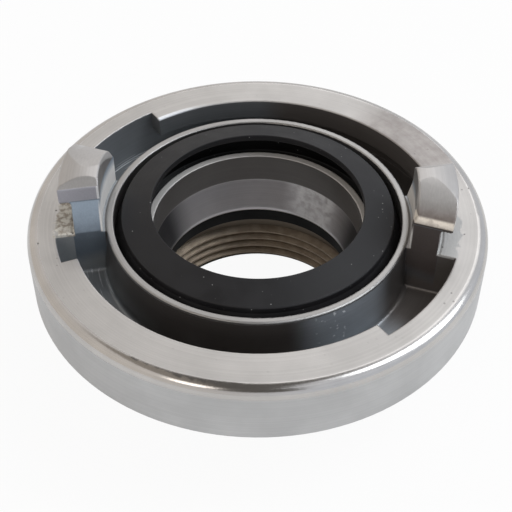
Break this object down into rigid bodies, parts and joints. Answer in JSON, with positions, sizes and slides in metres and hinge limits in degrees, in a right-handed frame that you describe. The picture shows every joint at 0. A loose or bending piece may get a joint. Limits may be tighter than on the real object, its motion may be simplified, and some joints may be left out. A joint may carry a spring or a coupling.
{
  "type": "storz coupling",
  "caption": "Fixed half of a claw hose coupling: cast ring with hooked claws, entry slots and ramped lips, a rubber face seal and a threaded socket.",
  "frame": {"origin": "centre of the end face of the threaded socket", "axes": "+Z along the waterway, from the socket towards the claws; the claws stand on the +X and -X sides"},
  "size_m": [0.098, 0.098, 0.0456],
  "materials": {
    "cast_aluminium": "turned on the faces, as cast behind",
    "seal_rubber": "matte, moulded",
    "washer_rubber": "matte, cut from sheet"
  },
  "bodies": {
    "root": {"coupling_body": "cast_aluminium", "seal_ring": "seal_rubber", "thread_washer": "washer_rubber"}
  },
  "joints": []
}
